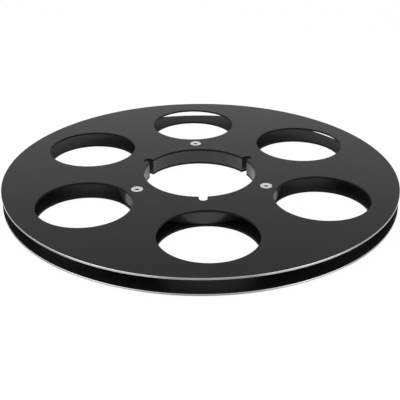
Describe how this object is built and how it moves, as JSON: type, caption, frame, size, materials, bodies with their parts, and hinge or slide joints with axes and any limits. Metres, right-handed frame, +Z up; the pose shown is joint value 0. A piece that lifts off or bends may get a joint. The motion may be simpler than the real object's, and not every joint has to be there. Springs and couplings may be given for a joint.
{
  "type": "audio tape reel",
  "caption": "Black metal audio tape reel with a large notched centre hole: round flanges with round windows and bright rims, screwed to both ends of a ring-shaped hub.",
  "frame": {"origin": "on the reel's axis, in the plane of the lower flange's outer face, on which it lies", "axes": "+Z up along the reel's axis; one drive notch and one window face -Y, the front"},
  "size_m": [0.2666, 0.2666, 0.0117],
  "materials": {
    "flange": "black anodised, satin, with a bright turned rim",
    "hub": "black anodised, satin",
    "screw": "plain stainless steel, fine turned"
  },
  "bodies": {
    "root": {"upper_flange": "flange", "lower_flange": "flange", "hub": "hub", "upper_screw_1": "screw", "upper_screw_2": "screw", "upper_screw_3": "screw", "lower_screw_1": "screw", "lower_screw_2": "screw", "lower_screw_3": "screw"}
  },
  "joints": []
}
